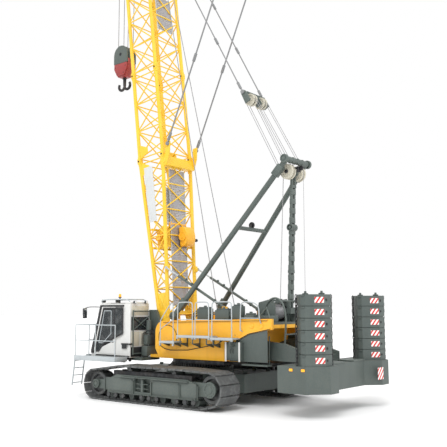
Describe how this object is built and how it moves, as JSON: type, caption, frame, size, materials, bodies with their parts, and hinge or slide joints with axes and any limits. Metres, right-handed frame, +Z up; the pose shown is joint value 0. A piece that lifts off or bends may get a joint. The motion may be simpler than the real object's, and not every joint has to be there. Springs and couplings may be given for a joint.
{
  "type": "crawler crane with lattice boom",
  "caption": "Crawler crane with slewing superstructure, lattice boom and fixed fly jib, A-frame, backstops, hook block, cab and stacked counterweights on two steel tracks.",
  "frame": {"origin": "centre of the overall box, on the ground; the slewing axis is 0.147 m behind it", "axes": "+X forward along the boom, +Y to the left side, where the cab is, +Z up"},
  "size_m": [14.194, 5.78, 28.3048],
  "materials": {
    "boom_yellow": "gloss paint",
    "frame_yellow": "gloss paint",
    "frame_grey": "satin paint",
    "track_steel": "worn cast steel",
    "cab_white": "gloss paint",
    "glass": "tinted glass",
    "rail_grey": "satin paint",
    "dark_steel": "oiled steel",
    "hook_red": "worn paint",
    "seat_fabric": "woven seat cover"
  },
  "bodies": {
    "undercarriage": {"carbody": "frame_grey", "carbody_ballast_front": "frame_grey", "carbody_ballast_rear": "frame_grey", "left_track": "track_steel", "left_track_frame": "frame_grey", "left_sprocket": "track_steel", "left_idler": "track_steel", "right_track": "track_steel", "right_track_frame": "frame_grey", "right_sprocket": "track_steel", "right_idler": "track_steel"},
    "superstructure": {"slewing_ring": "dark_steel", "main_frame": "frame_yellow", "machinery_deck": "frame_grey", "engine_house": "frame_grey", "engine_block": "dark_steel", "left_walkway": "rail_grey", "counterweight_base": "frame_grey", "counterweight_carrier": "frame_grey", "left_counterweight_stack": "frame_grey", "right_counterweight_stack": "frame_grey", "cab_shell": "cab_white", "windscreen": "glass", "operator_seat": "seat_fabric", "cab_support": "frame_grey", "cab_platform": "frame_grey", "ladder": "rail_grey", "a_frame_legs": "frame_grey", "a_frame_rear_link": "frame_grey"},
    "hoist_drum_front": {"hoist_winch_front": "dark_steel"},
    "hoist_drum_rear": {"hoist_winch_rear": "dark_steel"},
    "luffing_drum": {"luffing_winch": "dark_steel"},
    "engine_door_front": {"engine_door_front": "frame_grey"},
    "engine_door_rear": {"engine_door_rear": "frame_grey"},
    "cab_door": {"cab_door": "cab_white"},
    "boom": {"boom_foot_section": "boom_yellow", "boom_insert_lower": "boom_yellow", "boom_insert_upper": "boom_yellow", "boom_head_section": "boom_yellow", "fly_jib": "boom_yellow", "jib_strut": "frame_grey", "rear_stay_left": "dark_steel", "rear_stay_right": "dark_steel", "front_stay_left": "dark_steel", "front_stay_right": "dark_steel"},
    "jib_winch_drum": {"jib_winch": "frame_yellow"},
    "mast_sheaves": {"mast_head_sheaves": "rail_grey"},
    "spreader": {"spreader_block": "frame_grey", "main_pendant_left": "dark_steel", "main_pendant_right": "dark_steel"},
    "backstop_tubes": {"backstop_tube_left": "frame_grey", "backstop_tube_right": "frame_grey"},
    "backstop_rods": {"backstop_rod_left": "rail_grey", "backstop_rod_right": "rail_grey"},
    "head_sheaves": {"boom_head_sheaves": "rail_grey"},
    "hook_block": {"hook_block": "hook_red"},
    "hook": {"hook": "dark_steel"}
  },
  "joints": [
    {"name": "slew", "type": "hinge", "parent": "undercarriage", "child": "superstructure", "pos_m": [-0.14703, 0, 1.22], "axis": [0, 0, 1], "continuous": true},
    {"name": "hoist_drum_front_turn", "type": "hinge", "parent": "superstructure", "child": "hoist_drum_front", "pos_m": [-1.32703, 0, 2.45], "axis": [0, 1, 0], "continuous": true},
    {"name": "hoist_drum_rear_turn", "type": "hinge", "parent": "superstructure", "child": "hoist_drum_rear", "pos_m": [-2.42704, 0, 2.45], "axis": [0, 1, 0], "continuous": true},
    {"name": "luffing_drum_turn", "type": "hinge", "parent": "superstructure", "child": "luffing_drum", "pos_m": [-3.86704, 0.3, 3.26], "axis": [0, 1, 0], "continuous": true},
    {"name": "engine_door_front_swing", "type": "hinge", "parent": "superstructure", "child": "engine_door_front", "pos_m": [-0.05704, -2.6103, 2.3], "axis": [0, 0, 1], "range_deg": [0, 110]},
    {"name": "engine_door_rear_swing", "type": "hinge", "parent": "superstructure", "child": "engine_door_rear", "pos_m": [-2.25704, -2.6103, 2.3], "axis": [0, 0, 1], "range_deg": [0, 110]},
    {"name": "cab_door_slide", "type": "slide", "parent": "superstructure", "child": "cab_door", "axis": [-1, 0, 0], "range_m": [0, 0.8]},
    {"name": "boom_luff", "type": "hinge", "parent": "superstructure", "child": "boom", "pos_m": [0.90297, 0, 2.2], "axis": [0, 1, 0], "range_deg": [-3, 53.2]},
    {"name": "jib_winch_turn", "type": "hinge", "parent": "boom", "child": "jib_winch_drum", "pos_m": [1.3825, 0, 6.22151], "axis": [0, 1, 0], "continuous": true},
    {"name": "mast_head_swivel", "type": "hinge", "parent": "superstructure", "child": "mast_sheaves", "pos_m": [-4.56703, 0, 8.22], "axis": [0, 1, 0], "range_deg": [-3.05, 50.76]},
    {"name": "spreader_travel", "type": "slide", "parent": "mast_sheaves", "child": "spreader", "axis": [0.4825, 0, 0.8759], "range_m": [-0.428, 7.261]},
    {"name": "backstop_swing", "type": "hinge", "parent": "superstructure", "child": "backstop_tubes", "pos_m": [-2.24703, 0, 3.36], "axis": [0, 1, 0], "range_deg": [-1.43, 21.99]},
    {"name": "backstop_stroke", "type": "slide", "parent": "backstop_tubes", "child": "backstop_rods", "axis": [0.8802, 0, 0.4746], "range_m": [-0.118, 1.918]},
    {"name": "hook_rope_swing", "type": "hinge", "parent": "boom", "child": "head_sheaves", "pos_m": [4.29912, 0, 20.12397], "axis": [0, 1, 0], "range_deg": [-53.3, 3.1]},
    {"name": "hoist", "type": "slide", "parent": "head_sheaves", "child": "hook_block", "axis": [0, 0, 1], "range_m": [-11.4, 3.4]},
    {"name": "hook_swivel", "type": "hinge", "parent": "hook_block", "child": "hook", "pos_m": [4.29912, 0, 13.62397], "axis": [0, 0, 1], "continuous": true}
  ],
  "couplings": [
    {"joint": "mast_head_swivel", "follows": "boom_luff", "ratio": 0.95039},
    {"joint": "spreader_travel", "follows": "boom_luff", "m_per_rad": 7.7983},
    {"joint": "backstop_swing", "follows": "boom_luff", "ratio": 0.40961},
    {"joint": "backstop_stroke", "follows": "boom_luff", "m_per_rad": 2.0545},
    {"joint": "hook_rope_swing", "follows": "boom_luff", "ratio": -1}
  ]
}
